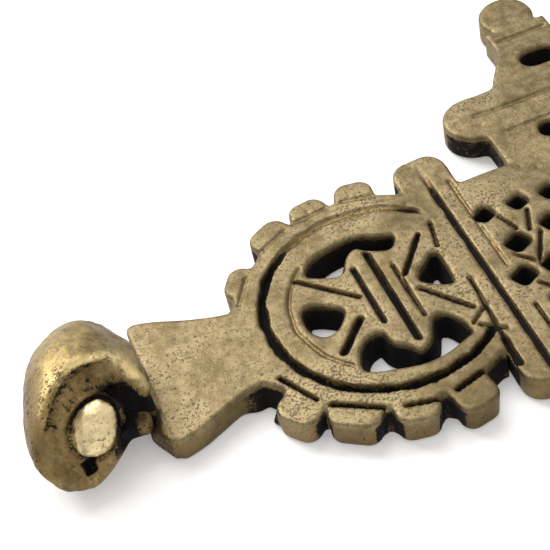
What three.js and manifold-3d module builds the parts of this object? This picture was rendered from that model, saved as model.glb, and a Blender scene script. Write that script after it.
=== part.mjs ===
// Cast openwork cross pendant with a hinged suspension loop.
// Millimetres. Origin: centre of the cross on the flat back face.
// +X runs away from the loop along the long axis, +Y to one lateral arm, +Z out of the decorated face.
import * as THREE from "three";
import { mergeVertices } from "three/addons/utils/BufferGeometryUtils.js";
import Module from "manifold-3d";

const wasm = await Module();
wasm.setup();

// ---- driving dimensions ----
const PLATE_T = 2.2;             // thickness of the cast plate
const CUT_DEPTH = 0.9;           // depth of the wide incised grooves
const LINE_DEPTH = 0.45;         // depth of the thin incised lines
const BAR_PROUD = 0.35;          // how far the collar and lobe bars stand over the plate

const MEDALLION_X = -20.2;       // centre of the ring medallion
const VALLEY_R = 9.4;            // medallion outline between two teeth
const TOOTH_TIP_R = 11.2;        // medallion outline at a tooth tip
const TOOTH_W = 3.0;             // width of one tooth
const TOOTH_ANGLES = [145, 120, 99, 78, -78, -99, -120, -145];
const GROOVE_R = 8.0;            // centre line of the ring groove
const GROOVE_W = 0.7;
// outlines of the four openings inside the ring, from the medallion centre
const WINDOWS = [
  [[-5.2, 1.6], [-3.9, 1.2], [-2.5, 0.1], [-2.9, -0.7], [-3.8, -1.6], [-4.8, -1.8],
    [-5.5, -1.0], [-5.7, 0.2]],
  [[4.5, 2.1], [5.1, 1.8], [5.3, 0.8], [5.1, -0.9], [4.8, -1.4], [3.8, -1.0], [2.7, -0.1],
    [2.8, 0.4], [3.4, 1.1]],
  [[-4.0, 4.3], [-3.3, 5.0], [-2.1, 5.6], [-0.6, 5.8], [0.8, 5.8], [1.8, 5.0], [3.0, 4.7], [2.8, 4.0],
    [2.2, 3.4], [1.5, 3.7], [0.6, 4.2], [0.2, 4.7], [-0.2, 4.7], [-0.9, 4.2], [-1.6, 2.6], [-3.7, 3.6]],
  [[-3.8, -5.4], [-3.0, -5.9], [-0.9, -6.5], [0.4, -6.7], [1.9, -6.5], [3.6, -5.9], [4.1, -5.7],
    [4.0, -4.7], [3.4, -3.6], [2.8, -3.2], [2.2, -3.3], [1.9, -3.8], [1.2, -5.2], [0.3, -5.7],
    [-0.1, -4.8], [-1.1, -4.2], [-1.2, -2.8], [-2.5, -3.0], [-3.3, -3.8]],
];

const COLLAR_X = 7.05;           // collar centre, from the medallion centre
const COLLAR_W = 3.8;            // across both bars
const COLLAR_HALF = 10.9;        // collar centre line to a rounded bar end

const FINIAL_END = -16.6;        // end edge of the fishtail, from the medallion centre
const FINIAL_HALF = 5.5;
const FINIAL_WAIST = 3.3;

const PANEL_HALF_X = 11.2;       // pierced panel, from the cross centre
const PANEL_HALF_Y = 7.1;
const LATTICE_R = 0.75;          // half the side of one lattice opening
const LATTICE_Y = 3.5;           // first row of openings
const LATTICE_PITCH_X = 2.75;
const LATTICE_PITCH_Y = 3.1;

const ARM_WAIST_HALF = 7.2;      // arm beside the panel
const LOBE_FROM = 10.4;          // lobe bar, from the cross centre
const LOBE_TO = 14.8;
const LOBE_HALF = 9.6;
const NECK_HALF = 2.6;           // tapering arm just before the knob
const KNOB_AT = 21.8;            // knob centre, from the cross centre
const KNOB_R = 2.3;
const LOWER_SHIFT = 4.8;         // how much further out the lower arm stands than a lateral arm

// loop, in its own frame: hinge axis along its Y, +X towards the finial
const LOOP_POS = new THREE.Vector3(MEDALLION_X - 20.4, -1.0, 3.65);
const LOOP_YAW = THREE.MathUtils.degToRad(-15);
const BARREL_SHIFT = -0.65;      // barrel centre from the hinge axis
const BARREL_RX = 3.65;
const BARREL_RZ = 3.6;
const BARREL_HALF = 6.3;
const LIP_R = 1.35;              // lip that comes down on the finial's end edge
const PIN_R = 0.9;               // shank
const HEAD_R = 1.5;              // rounded near head, shows in the open seat
const HEAD_FROM = -4.35;
const HEAD_TO = -1.8;
const FAR_HEAD_R = 1.25;
const FAR_HEAD_FROM = 4.3;
const PIN_END = 4.9;
const PIN_FIT = 0.02;            // radial gap where the pin is held by the loop
const RUN_FIT = 0.06;            // radial gap where the knuckle runs on the pin
const KNUCKLE_R = 1.8;
const KNUCKLE_FROM = -0.4;
const KNUCKLE_TO = 2.0;
const SIDE_GAP = 0.15;           // slot wall to knuckle
const SLOT_START = -145;         // slot for the tongue, degrees round the hinge axis
const SLOT_END = -18;
const CORD_R = 1.4;              // cord channel between knuckle and finial
const CORD_X = 2.95;
const CORD_Z = -0.75;
const SEAT_TILT = THREE.MathUtils.degToRad(44.6);
const SEAT_Y = -2.9;             // where the seat floor crosses the hinge axis

// ---- solid helpers ----
function solid(geometry) {
  const g = geometry.clone();
  g.deleteAttribute("normal");
  g.deleteAttribute("uv");
  const m = mergeVertices(g, 1e-5);
  const mesh = new wasm.Mesh({
    numProp: 3,
    vertProperties: new Float32Array(m.attributes.position.array),
    triVerts: new Uint32Array(m.index.array),
  });
  return new wasm.Manifold(mesh);
}

function geometryOf(manifold) {
  const mesh = manifold.getMesh();
  const g = new THREE.BufferGeometry();
  g.setAttribute("position", new THREE.BufferAttribute(mesh.vertProperties, 3));
  g.setIndex(new THREE.BufferAttribute(mesh.triVerts, 1));
  g.computeVertexNormals();
  return g;
}

function join(list) {
  return list.map(solid).reduce((a, b) => a.add(b));
}

function cut(body, list) {
  return list.map(solid).reduce((a, b) => a.subtract(b), body);
}

function slab(shape, z0, z1, segments = 8) {
  const g = new THREE.ExtrudeGeometry(shape, { depth: z1 - z0, bevelEnabled: false, curveSegments: segments });
  g.translate(0, 0, z0);
  return g;
}

function polygon(points) {
  return new THREE.Shape(points.map(([x, y]) => new THREE.Vector2(x, y)));
}

function box(x0, x1, y0, y1, z0, z1) {
  const g = new THREE.BoxGeometry(x1 - x0, y1 - y0, z1 - z0);
  g.translate((x0 + x1) / 2, (y0 + y1) / 2, (z0 + z1) / 2);
  return g;
}

function disc(x, y, r, z0, z1, segments = 48) {
  const g = new THREE.CylinderGeometry(r, r, z1 - z0, segments);
  g.rotateX(Math.PI / 2);
  g.translate(x, y, (z0 + z1) / 2);
  return g;
}

// flat stadium from a to b
function stadium(a, b, r, z0, z1, segments = 6) {
  const dx = b[0] - a[0];
  const dy = b[1] - a[1];
  const angle = Math.atan2(dy, dx);
  const shape = new THREE.Shape();
  shape.absarc(Math.hypot(dx, dy), 0, r, -Math.PI / 2, Math.PI / 2, false);
  shape.absarc(0, 0, r, Math.PI / 2, 1.5 * Math.PI, false);
  const g = slab(shape, z0, z1, segments);
  g.rotateZ(angle);
  g.translate(a[0], a[1], 0);
  return g;
}

// incised line in the top face
function line(a, b, width, depth) {
  return stadium(a, b, width / 2, PLATE_T - depth, PLATE_T + 1, 3);
}

function ring(x, y, r0, r1, z0, z1, segments = 48) {
  const profile = [[r0, z0], [r1, z0], [r1, z1], [r0, z1], [r0, z0]];
  const g = new THREE.LatheGeometry(profile.map(([r, z]) => new THREE.Vector2(r, z)), segments);
  g.rotateX(Math.PI / 2);
  g.translate(x, y, 0);
  return g;
}

// round bar lying flat along Y with domed ends, its lower side cut level with the back face
function bar(x, half, r, height) {
  const shape = new THREE.Shape();
  shape.absarc(0, half - r, r, 0, Math.PI, false);
  shape.absarc(0, -(half - r), r, Math.PI, 2 * Math.PI, false);
  const g = new THREE.ExtrudeGeometry(shape, {
    depth: height - 0.4, bevelEnabled: true, bevelThickness: 0.4, bevelSize: 0.35,
    bevelOffset: -0.35, bevelSegments: 2, curveSegments: 8,
  });
  const flat = box(x - r - 1, x + r + 1, -half - 1, half + 1, -2, 0);
  g.translate(x, 0, 0);
  return solid(g).subtract(solid(flat));
}

// ---- pieces of the plate, medallion centre at the origin ----
function medallion() {
  const parts = [disc(0, 0, VALLEY_R, 0, PLATE_T, 72)];
  for (const degrees of TOOTH_ANGLES) {
    const g = stadium([VALLEY_R - 1.5, 0], [TOOTH_TIP_R - TOOTH_W / 2, 0], TOOTH_W / 2, 0, PLATE_T, 8);
    g.rotateZ(THREE.MathUtils.degToRad(degrees));
    parts.push(g);
  }
  return join(parts);
}

function windows() {
  return WINDOWS.map((outline) => {
    const curve = new THREE.CatmullRomCurve3(outline.map(([x, y]) => new THREE.Vector3(x, y, 0)), true);
    const points = curve.getPoints(outline.length * 2).slice(1);
    return slab(polygon(points.map((p) => [p.x, p.y])), -1, PLATE_T + 1);
  });
}

function finial() {
  const shape = new THREE.Shape();
  const e = FINIAL_END;
  shape.moveTo(e + 0.6, -FINIAL_HALF);
  shape.bezierCurveTo(e + 3.2, -FINIAL_HALF + 0.6, -11.6, -FINIAL_WAIST, -9.8, -FINIAL_WAIST);
  shape.lineTo(-7.2, -4.6);
  shape.lineTo(-7.2, 4.6);
  shape.lineTo(-9.8, FINIAL_WAIST);
  shape.bezierCurveTo(-11.6, FINIAL_WAIST, e + 3.2, FINIAL_HALF - 0.6, e + 0.6, FINIAL_HALF);
  shape.quadraticCurveTo(e, FINIAL_HALF, e, FINIAL_HALF - 0.8);
  shape.lineTo(e, -FINIAL_HALF + 0.8);
  shape.quadraticCurveTo(e, -FINIAL_HALF, e + 0.6, -FINIAL_HALF);
  return slab(shape, 0, PLATE_T, 8);
}

// an outer arm pointing along +Y, cross centre at the origin
function arm() {
  const flare = polygon([
    [-ARM_WAIST_HALF - 0.3, PANEL_HALF_Y - 0.5], [ARM_WAIST_HALF + 0.3, PANEL_HALF_Y - 0.5],
    [ARM_WAIST_HALF, LOBE_FROM + 0.6], [-ARM_WAIST_HALF, LOBE_FROM + 0.6],
  ]);
  const taper = new THREE.Shape();
  taper.moveTo(-4.8, LOBE_TO - 0.6);
  taper.lineTo(4.8, LOBE_TO - 0.6);
  taper.bezierCurveTo(4.2, LOBE_TO + 2.2, NECK_HALF, LOBE_TO + 2.6, NECK_HALF, KNOB_AT - 2.6);
  taper.lineTo(1.4, KNOB_AT - 1.0);
  taper.lineTo(-1.4, KNOB_AT - 1.0);
  taper.lineTo(-NECK_HALF, KNOB_AT - 2.6);
  taper.bezierCurveTo(-NECK_HALF, LOBE_TO + 2.6, -4.2, LOBE_TO + 2.2, -4.8, LOBE_TO - 0.6);
  const r = (LOBE_TO - LOBE_FROM) / 2;
  const y = (LOBE_TO + LOBE_FROM) / 2;
  const lobe = stadium([-LOBE_HALF + r, y], [LOBE_HALF - r, y], r, 0, PLATE_T + BAR_PROUD, 8);
  const body = join([
    slab(flare, 0, PLATE_T), slab(taper, 0, PLATE_T), lobe,
    disc(0, KNOB_AT, KNOB_R, 0, PLATE_T + BAR_PROUD, 28),
  ]);
  return cut(body, [
    stadium([-0.6, 16.4], [0.6, 16.4], 0.8, -1, PLATE_T + 2, 5),
    stadium([-3.0, 8.9], [-3.0, 9.2], 0.8, -1, PLATE_T + 1, 5),
    stadium([3.0, 8.9], [3.0, 9.2], 0.8, -1, PLATE_T + 1, 5),
    stadium([-LOBE_HALF + 1.4, y], [LOBE_HALF - 1.4, y], 0.3, PLATE_T + BAR_PROUD - LINE_DEPTH, PLATE_T + 2, 3),
  ]);
}

function turned(manifold, degrees, x = 0, y = 0) {
  const g = geometryOf(manifold);
  g.rotateZ(THREE.MathUtils.degToRad(degrees));
  g.translate(x, y, 0);
  return solid(g);
}

function collar(x) {
  const r = COLLAR_W / 4 + 0.02;
  return bar(x - COLLAR_W / 4, COLLAR_HALF, r, PLATE_T + BAR_PROUD)
    .add(bar(x + COLLAR_W / 4, COLLAR_HALF, r, PLATE_T + BAR_PROUD))
    .add(solid(stadium([x, -COLLAR_HALF + 2], [x, COLLAR_HALF - 2], 1.6, 0, PLATE_T - 0.6, 6)));
}

// tongue and knuckle in the loop frame
function hingeSide() {
  const strap = polygon([
    [5.2, -3.62], [5.2, -2.15], [3.0, -2.2], [1.6, -1.0], [0.4, -1.4], [0.7, -1.9], [2.2, -3.62],
  ]);
  const width = KNUCKLE_TO - KNUCKLE_FROM;
  const s = new THREE.ExtrudeGeometry(strap, { depth: width, bevelEnabled: false });
  s.rotateX(Math.PI / 2);
  s.translate(0, KNUCKLE_TO, 0);
  const k = new THREE.CylinderGeometry(KNUCKLE_R, KNUCKLE_R, width, 36);
  k.translate(0, (KNUCKLE_TO + KNUCKLE_FROM) / 2, 0);
  const bore = new THREE.CylinderGeometry(PIN_R + RUN_FIT, PIN_R + RUN_FIT, 8, 40);
  return cut(join([s, k]), [bore]);
}

function crossCasting() {
  const M = MEDALLION_X;
  const c = COLLAR_X;
  let top = medallion().add(solid(finial()));
  top = top.add(collar(c));
  top = cut(top, windows());
  const floor = PLATE_T - CUT_DEPTH;
  const grooveRing = ring(0, 0, GROOVE_R - GROOVE_W / 2, GROOVE_R + GROOVE_W / 2, floor, PLATE_T + 1, 72);
  const keep = box(c - COLLAR_W / 2, c + COLLAR_W / 2 + 3, -12, 12, -1, PLATE_T + 2);
  top = top.subtract(solid(grooveRing).subtract(solid(keep)));
  top = cut(top, [
    line([-0.8, 3.0], [-0.8, -2.3], 0.3, LINE_DEPTH),
    line([0.55, 3.9], [0.55, -4.5], 0.6, CUT_DEPTH),
    line([1.7, 2.0], [1.7, -3.0], 0.3, LINE_DEPTH),
    line([-4.8, 3.9], [-1.5, 0.6], 0.35, LINE_DEPTH),
    line([-2.1, -1.3], [-4.3, -3.6], 0.5, LINE_DEPTH),
    line([2.1, 0.9], [4.4, 3.8], 0.4, LINE_DEPTH),
    line([2.4, -0.7], [4.9, -3.7], 0.4, LINE_DEPTH),
  ]);
  const chords = [];
  for (const degrees of TOOTH_ANGLES) {
    const g = line([9.35, -1.45], [9.35, 1.45], 0.28, LINE_DEPTH);
    g.rotateZ(THREE.MathUtils.degToRad(degrees));
    chords.push(g);
  }
  top = cut(top, chords);

  let body = turned(top, 0, M, 0);
  const half = PANEL_HALF_X;
  body = body.add(solid(box(-half - 0.4, half + 0.4, -PANEL_HALF_Y, PANEL_HALF_Y, 0, PLATE_T)));
  body = body.add(turned(collar(0), 0, -(M + c), 0));
  const one = arm();
  body = body.add(one).add(turned(one, 180)).add(turned(one, -90, LOWER_SHIFT, 0));

  const holes = [];
  for (let row = 0; row < 4; row += 1) {
    const y = LATTICE_Y - row * LATTICE_PITCH_Y;
    const first = row % 2 === 0 ? -8.3 : -9.8;
    for (let x = first; x < PANEL_HALF_X - 1.2; x += LATTICE_PITCH_X) {
      const g = box(-LATTICE_R, LATTICE_R, -LATTICE_R, LATTICE_R, -1, PLATE_T + 1);
      g.rotateZ(Math.PI / 4);
      g.translate(x, y, 0);
      holes.push(g);
      if (row < 3 && x < PANEL_HALF_X - 3.2) {
        holes.push(line([x + 0.35, y - 1.1], [x + 1.0, y - 2.0], 0.22, LINE_DEPTH));
      }
    }
  }
  body = cut(body, holes);

  const h = geometryOf(hingeSide());
  h.rotateZ(LOOP_YAW);
  h.translate(LOOP_POS.x, LOOP_POS.y, LOOP_POS.z);
  return body.add(solid(h));
}

function rod(r, y0, y1, x = 0, z = 0, segments = 36) {
  const g = new THREE.CylinderGeometry(r, r, y1 - y0, segments);
  g.translate(x, (y0 + y1) / 2, z);
  return g;
}

function loopBody() {
  const profile = [];
  const steps = 18;
  for (let n = 0; n <= steps; n += 1) {
    const y = -BARREL_HALF * Math.cos((Math.PI * n) / steps);
    const k = Math.pow(Math.abs(y) / BARREL_HALF, 2.3);
    const r = n === 0 || n === steps ? 0 : Math.pow(Math.max(0, 1 - k), 1 / 2.3);
    profile.push(new THREE.Vector2(r, y));
  }
  const barrel = new THREE.LatheGeometry(profile, 40);
  barrel.scale(BARREL_RX, 1, BARREL_RZ);
  barrel.translate(BARREL_SHIFT, 0, 0);
  const lip = new THREE.CapsuleGeometry(LIP_R, 2.6, 6, 20);
  lip.rotateZ(THREE.MathUtils.degToRad(10));
  lip.translate(2.2, 2.3, 0.25);

  const y0 = KNUCKLE_FROM - SIDE_GAP;
  const y1 = KNUCKLE_TO + SIDE_GAP;
  const sector = new THREE.Shape();
  const a0 = THREE.MathUtils.degToRad(SLOT_START);
  const a1 = THREE.MathUtils.degToRad(SLOT_END);
  sector.moveTo(0, 0);
  sector.lineTo(6 * Math.cos(a0), 6 * Math.sin(a0));
  sector.absarc(0, 0, 6, a0, a1, false);
  sector.lineTo(0, 0);
  const sweep = new THREE.ExtrudeGeometry(sector, { depth: y1 - y0, bevelEnabled: false, curveSegments: 10 });
  sweep.rotateX(Math.PI / 2);
  sweep.translate(0, y1, 0);

  const seat = slab(roundedBox(-3.0, 1.75, -2.6, 4.4, 2.3), 0, 9, 8);
  seat.rotateX(SEAT_TILT);
  seat.translate(0, SEAT_Y, 0);

  return cut(join([barrel, lip]), [
    rod(PIN_R + PIN_FIT, -9, 9),
    rod(HEAD_R + 0.05, -9, HEAD_TO + 0.08),
    rod(FAR_HEAD_R + 0.25, FAR_HEAD_FROM - 0.05, 9),
    rod(KNUCKLE_R + SIDE_GAP, y0, y1),
    sweep,
    rod(CORD_R, -9, 9, CORD_X, CORD_Z, 28),
    box(1.7, 6, -9, 0.2, CORD_Z - 0.2, 6),
    seat,
  ]);
}

function roundedBox(x0, x1, y0, y1, r) {
  const s = new THREE.Shape();
  s.absarc(x1 - r, y0 + r, r, -Math.PI / 2, 0, false);
  s.absarc(x1 - r, y1 - r, r, 0, Math.PI / 2, false);
  s.absarc(x0 + r, y1 - r, r, Math.PI / 2, Math.PI, false);
  s.absarc(x0 + r, y0 + r, r, Math.PI, 1.5 * Math.PI, false);
  return s;
}

function loopPin() {
  const points = [];
  const dome = 1.45;
  for (let n = 0; n <= 7; n += 1) {
    const a = (Math.PI / 2) * (n / 7);
    points.push([n === 0 ? 0 : HEAD_R * Math.sin(a), HEAD_FROM + dome * (1 - Math.cos(a))]);
  }
  points.push([HEAD_R, HEAD_TO], [PIN_R, HEAD_TO], [PIN_R, FAR_HEAD_FROM], [FAR_HEAD_R, FAR_HEAD_FROM]);
  points.push([FAR_HEAD_R, FAR_HEAD_FROM + 0.2], [FAR_HEAD_R * 0.75, PIN_END - 0.1], [0, PIN_END]);
  return new THREE.LatheGeometry(points.map(([r, y]) => new THREE.Vector2(r, y)), 40);
}

// ---- assembly ----
function mesh(name, geometry, color, roughness, metalness) {
  const material = new THREE.MeshStandardMaterial({ color, roughness, metalness });
  material.name = name;
  const m = new THREE.Mesh(geometry, material);
  m.name = name;
  return m;
}

const group = new THREE.Group();
group.name = "cross_pendant";
group.add(mesh("cross_casting", geometryOf(crossCasting()), 0xa9946a, 0.42, 1));

const body = mesh("loop_body", geometryOf(loopBody()), 0xa08750, 0.45, 1);
body.position.copy(LOOP_POS);
body.rotation.z = LOOP_YAW;
group.add(body);

const pin = mesh("loop_pin", loopPin(), 0xe6cf9c, 0.25, 1);
pin.position.copy(LOOP_POS);
pin.rotation.z = LOOP_YAW;
group.add(pin);

export default group;
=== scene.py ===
import math

import bpy
import numpy as np
from mathutils import Matrix, Vector


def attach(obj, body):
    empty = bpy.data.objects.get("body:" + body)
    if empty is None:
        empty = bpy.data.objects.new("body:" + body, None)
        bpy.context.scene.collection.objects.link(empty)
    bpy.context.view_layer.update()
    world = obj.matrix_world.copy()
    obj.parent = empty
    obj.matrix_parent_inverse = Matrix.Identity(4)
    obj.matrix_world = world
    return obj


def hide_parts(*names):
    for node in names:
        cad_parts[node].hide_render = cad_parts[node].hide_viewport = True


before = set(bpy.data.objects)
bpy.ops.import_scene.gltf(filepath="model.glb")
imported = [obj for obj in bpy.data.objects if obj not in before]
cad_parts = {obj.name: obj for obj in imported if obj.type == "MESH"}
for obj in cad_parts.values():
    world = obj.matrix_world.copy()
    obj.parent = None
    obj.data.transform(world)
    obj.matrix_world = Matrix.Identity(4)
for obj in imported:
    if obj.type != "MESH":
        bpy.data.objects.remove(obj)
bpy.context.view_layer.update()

MM = 0.001
RNG = np.random.default_rng(11)

# ---------------------------------------------------------------- dimensions, mm
# x and y run from the centre of the cross; u and w run the same way from the medallion's centre
PLATE_T = 2.2
TOP_ROUND = 0.24
BACK_ROUND = 0.22
MED_X = -20.2
DISC_R = 9.4
TOOTH_ROOT = 8.2
GROOVE_R = 8.0
FAINT_GROOVE_R = 6.2
FINIAL_END = -16.6              # in u
FINIAL_HALF = 5.5
FINIAL_WAIST = 1.85
FINIAL_FLARE = 2.2
COLLAR_X = 7.05                 # in u
COLLAR_HALF = 11.1
PANEL_HALF = (11.6, 7.1)
FAR_BARS_X = (12.15, 14.1)      # the two bars of the second collar
FAR_BAR_HALF = 9.8
FAR_BAR_R = 1.02
LOWER_ARM_SHIFT = 4.8
ARM_WIDE, ARM_NARROW = 4.9, 2.5
LOBE_Y, LOBE_HALF, LOBE_R = 12.6, 7.4, 2.2
KNOB_Y, KNOB_R = 21.9, 2.1
ARM_SLOT_Y, ARM_SLOT_HALF, ARM_SLOT_R = 16.5, 0.6, 0.95
ARM_HOLE_X, ARM_HOLE_Y, ARM_HOLE_R = 3.0, 9.05, 0.85
PITS = 420
FAR_AWAY = 9.0                  # beyond any distance that matters

# the loop's frame: a towards the finial, b along the pin, c up
LOOP_POS = (MED_X - 20.4, -1.0, 3.65)
LOOP_YAW = math.radians(-15)
BARREL_SHIFT = -0.65
BARREL_RX = 3.65
BARREL_RZ = 3.6
BARREL_HALF = 6.3
BARREL_POWER = 2.3
LIP_A, LIP_R = 2.62, 1.3
PIN_R = 0.9
FAR_HEAD_R = 1.25
KNUCKLE_R = 1.8
KNUCKLE = (-0.4, 2.0)
KNUCKLE_MID = (KNUCKLE[0] + KNUCKLE[1]) / 2
KNUCKLE_HALF = (KNUCKLE[1] - KNUCKLE[0]) / 2
SIDE_GAP = 0.15
SLOT_MID, SLOT_SPREAD = -81.5, 63.5     # degrees about the pin
CORD_A, CORD_C, CORD_R = 2.95, -0.75, 1.4
SEAT_TILT = math.radians(44.6)
SEAT_Y = -2.9

PITCH = 0.12
LOOP_PITCH = 0.075


# ---------------------------------------------------------------- distance fields
def smin(a, b, k):
    """Union of two fields with a fillet of size k."""
    h = np.clip(0.5 + 0.5 * (b - a) / k, 0, 1)
    return b + (a - b) * h - k * h * (1 - h)


def smax(a, b, k):
    """Intersection of two fields with a fillet of size k."""
    return -smin(-a, -b, k)


def round_max(a, b, r):
    """Intersection of two fields with a rounded outer edge of radius r."""
    u = np.maximum(a + r, 0)
    v = np.maximum(b + r, 0)
    return np.sqrt(u * u + v * v) - r + np.minimum(np.maximum(a, b) + r, 0)


def seg(x, y, a, b):
    """Distance to the segment a-b."""
    ax, ay = a
    dx, dy = b[0] - ax, b[1] - ay
    t = ((x - ax) * dx + (y - ay) * dy) / max(dx * dx + dy * dy, 1e-9)
    t = np.clip(t, 0, 1)
    return np.hypot(x - ax - t * dx, y - ay - t * dy)


def rbox(x, y, cx, cy, hx, hy, r, angle=0.0):
    """Signed distance to a turned rectangle with corners of radius r."""
    c, s = math.cos(angle), math.sin(angle)
    u = np.abs((x - cx) * c + (y - cy) * s) - hx + r
    v = np.abs(-(x - cx) * s + (y - cy) * c) - hy + r
    return np.hypot(np.maximum(u, 0), np.maximum(v, 0)) + np.minimum(np.maximum(u, v), 0) - r


def poly(x, y, pts):
    """Signed distance to a closed polygon, negative inside."""
    d = np.full(x.shape, 1e9)
    inside = np.zeros(x.shape, bool)
    for (ax, ay), (bx, by) in zip(pts, pts[1:] + pts[:1]):
        d = np.minimum(d, seg(x, y, (ax, ay), (bx, by)))
        if ay != by:
            cross = (ay > y) != (by > y)
            at = (bx - ax) * (y - ay) / (by - ay) + ax
            inside ^= cross & (x < at)
    return np.where(inside, -d, d)


def rounded(pts, passes=2):
    """Corner-cut copy of a closed polygon."""
    p = np.array(pts, float)
    for _ in range(passes):
        q = np.roll(p, -1, 0)
        p = np.stack([0.75 * p + 0.25 * q, 0.25 * p + 0.75 * q], 1).reshape(-1, 2)
    return [tuple(v) for v in p]


def waves(x, y, size, seed):
    """Smooth hand-made unevenness between about -1 and 1."""
    r = np.random.default_rng(seed)
    out = np.zeros(np.broadcast(x, y).shape)
    for _ in range(9):
        a = r.uniform(0, 2 * math.pi)
        k = 2 * math.pi / (size * r.uniform(0.6, 1.8))
        out = out + np.sin(k * (x * math.cos(a) + y * math.sin(a)) + r.uniform(0, 6.28))
    return out / 4.5


def groove(d, width, depth):
    """How deep a hand-cut line is at distance d from its centre."""
    t = np.clip(1 - (d / (width / 2)) ** 2, 0, 1)
    return depth * t ** 0.6


def step(v, a, b):
    """Smooth step from 0 at a to 1 at b."""
    t = np.clip((v - a) / (b - a), 0, 1)
    return t * t * (3 - 2 * t)


def sample(grid, low, pitch, x, y):
    """Bilinear value of a plan map at scattered points."""
    i = np.clip((x - low[0]) / pitch, 0, grid.shape[0] - 1.001)
    j = np.clip((y - low[1]) / pitch, 0, grid.shape[1] - 1.001)
    i0, j0 = i.astype(int), j.astype(int)
    fi, fj = i - i0, j - j0
    near = grid[i0, j0] * (1 - fi) + grid[i0 + 1, j0] * fi
    far = grid[i0, j0 + 1] * (1 - fi) + grid[i0 + 1, j0 + 1] * fi
    return near * (1 - fj) + far * fj


# ---------------------------------------------------------------- mesh from a field
def grid(low, high, pitch):
    """Evenly spaced x, y and z values from one corner to at least the other."""
    counts = np.ceil((np.array(high) - low) / pitch).astype(int) + 1
    return [low[k] + pitch * np.arange(counts[k]) for k in range(3)]


def surface(field, low, pitch):
    """Closed quad mesh of the zero level of a sampled field."""
    # one vertex in every cell that the surface crosses, at the mean of its edge crossings
    n = field.shape
    s = field < 0
    count = np.zeros([v - 1 for v in n], np.uint8)
    corners = [(i, j, k) for i in (0, 1) for j in (0, 1) for k in (0, 1)]
    for i, j, k in corners:
        count += s[i:n[0] - 1 + i, j:n[1] - 1 + j, k:n[2] - 1 + k]
    active = (count > 0) & (count < 8)
    idx = np.argwhere(active)
    ids = np.full(active.shape, -1, np.int32)
    ids[active] = np.arange(len(idx))
    val = {c: field[idx[:, 0] + c[0], idx[:, 1] + c[1], idx[:, 2] + c[2]] for c in corners}
    total = np.zeros((len(idx), 3))
    hits = np.zeros(len(idx))
    for a in corners:
        for b in corners:
            if sum(b) - sum(a) != 1 or sum(abs(p - q) for p, q in zip(a, b)) != 1:
                continue
            va, vb = val[a], val[b]
            m = (va < 0) != (vb < 0)
            t = np.where(m, va / np.where(m, va - vb, 1), 0)[:, None]
            p = np.array(a) + (np.array(b) - np.array(a)) * t
            total += np.where(m[:, None], p, 0)
            hits += m
    verts = (idx + total / hits[:, None]) * pitch + np.array(low)
    # one quad round every grid edge that the surface crosses
    quads = []
    for axis in range(3):
        u, v = [(1, 2), (2, 0), (0, 1)][axis]
        lo = [slice(None)] * 3
        hi = [slice(None)] * 3
        lo[axis], hi[axis] = slice(0, -1), slice(1, None)
        for w in (u, v):
            lo[w] = hi[w] = slice(1, -1)
        first, second = s[tuple(lo)], s[tuple(hi)]
        change = first != second
        at = np.argwhere(change)
        at[:, u] += 1
        at[:, v] += 1
        ring = []
        for du, dv in ((-1, -1), (0, -1), (0, 0), (-1, 0)):
            c = at.copy()
            c[:, u] += du
            c[:, v] += dv
            ring.append(ids[c[:, 0], c[:, 1], c[:, 2]])
        q = np.stack(ring, 1)
        out = first[change]
        q[~out] = q[~out][:, ::-1]
        quads.append(q)
    return verts, np.concatenate(quads)


def scatter(index, values, n):
    """Sum rows of values into n rows."""
    return np.stack([np.bincount(index, weights=values[:, k], minlength=n) for k in range(3)], 1)


def normals_of(v, q):
    """Unit vertex normals of a quad mesh."""
    f = np.cross(v[q[:, 2]] - v[q[:, 0]], v[q[:, 3]] - v[q[:, 1]])
    out = sum(scatter(q[:, k], f, len(v)) for k in range(4))
    return out / np.maximum(np.linalg.norm(out, axis=1, keepdims=True), 1e-12)


def hollowness(v, q, steps):
    """Per vertex, how far a smoothed copy of the surface stands out of it: above 0 in recesses."""
    n = len(v)
    a = np.concatenate([q[:, k] for k in range(4)])
    b = np.concatenate([q[:, (k + 1) % 4] for k in range(4)])
    deg = np.bincount(a, minlength=n) + np.bincount(b, minlength=n)
    nrm = normals_of(v, q)
    p = v.copy()
    out = []
    done = 0
    for stop in steps:
        while done < stop:
            acc = scatter(a, p[b], n) + scatter(b, p[a], n)
            p = 0.4 * p + 0.6 * acc / deg[:, None]
            done += 1
        out.append(np.einsum("ij,ij->i", p - v, nrm))
    return out


def make_object(name, v, q, fields, material):
    """Smooth-shaded object with one float attribute per entry of fields."""
    mesh = bpy.data.meshes.new(name)
    mesh.vertices.add(len(v))
    mesh.vertices.foreach_set("co", (v * MM).astype(np.float32).ravel())
    mesh.loops.add(q.size)
    mesh.loops.foreach_set("vertex_index", q.astype(np.int32).ravel())
    mesh.polygons.add(len(q))
    mesh.polygons.foreach_set("loop_start", np.arange(0, q.size, 4, dtype=np.int32))
    mesh.polygons.foreach_set("loop_total", np.full(len(q), 4, np.int32))
    mesh.update(calc_edges=True)
    mesh.polygons.foreach_set("use_smooth", np.ones(len(q), bool))
    for key, data in fields.items():
        att = mesh.attributes.new(key, "FLOAT", "POINT")
        att.data.foreach_set("value", data.astype(np.float32))
    mesh.materials.append(material)
    mesh.validate()
    ob = bpy.data.objects.new(name, mesh)
    bpy.context.scene.collection.objects.link(ob)
    return ob


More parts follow.
